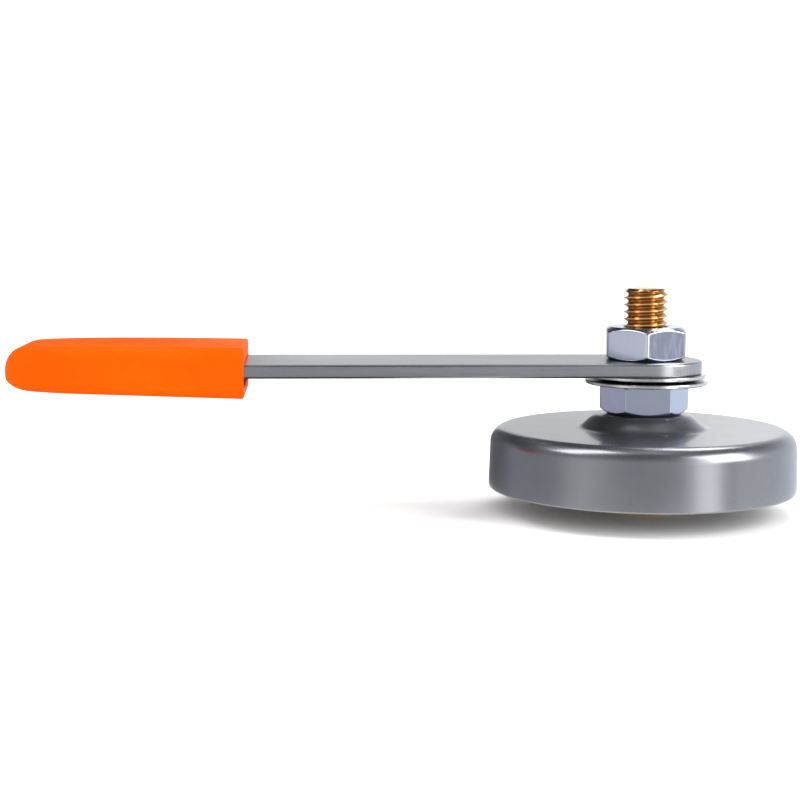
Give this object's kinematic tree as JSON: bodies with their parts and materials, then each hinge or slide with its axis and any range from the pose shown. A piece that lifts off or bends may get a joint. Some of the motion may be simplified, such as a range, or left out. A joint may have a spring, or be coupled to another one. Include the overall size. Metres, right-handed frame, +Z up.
{
  "type": "welding magnet holder",
  "caption": "Round pot magnet with a brass contact bolt, a washer and nut clamp for a welding cable lug, and a swivelling flat bar handle with a plastic grip sleeve.",
  "frame": {"origin": "centre of the contact face of the bolt head, on the bolt's axis", "axes": "+Z up the bolt from the work to the clamp nut; the handle points along -X"},
  "size_m": [0.1402, 0.055, 0.0401],
  "materials": {
    "brass": "machined thread, slightly tarnished",
    "cup_steel": "satin grey coating over pressed steel",
    "ferrite": "matt sintered ferrite",
    "resin": "matt potting resin",
    "zinc_steel": "bright blue-white zinc plate",
    "washer_steel": "bright zinc plate",
    "bar_steel": "satin plated flat bar",
    "orange_plastic": "smooth soft vinyl"
  },
  "bodies": {
    "magnet_head": {"contact_bolt": "brass", "magnet_cup": "cup_steel", "ring_magnet": "ferrite", "potting_ring": "resin", "lock_nut": "zinc_steel", "cupped_washer": "washer_steel"},
    "clamp_washer": {"flat_washer": "washer_steel"},
    "handle": {"handle_bar": "bar_steel", "grip_sleeve": "orange_plastic"},
    "clamp_nut": {"clamp_nut": "zinc_steel"}
  },
  "joints": [
    {"name": "clamp_lift", "type": "slide", "parent": "magnet_head", "child": "clamp_washer", "axis": [0, 0, 1], "range_m": [0, 0.005]},
    {"name": "clamp_nut_turn", "type": "hinge", "parent": "clamp_washer", "child": "clamp_nut", "pos_m": [0, 0, 0.02745], "axis": [0, 0, 1], "range_deg": [0, 1440]},
    {"name": "handle_swivel", "type": "hinge", "parent": "clamp_washer", "child": "handle", "pos_m": [0, 0, 0.02505], "axis": [0, 0, 1], "continuous": true}
  ],
  "couplings": [
    {"joint": "clamp_nut_turn", "follows": "clamp_lift", "rad_per_m": 5026.5}
  ]
}
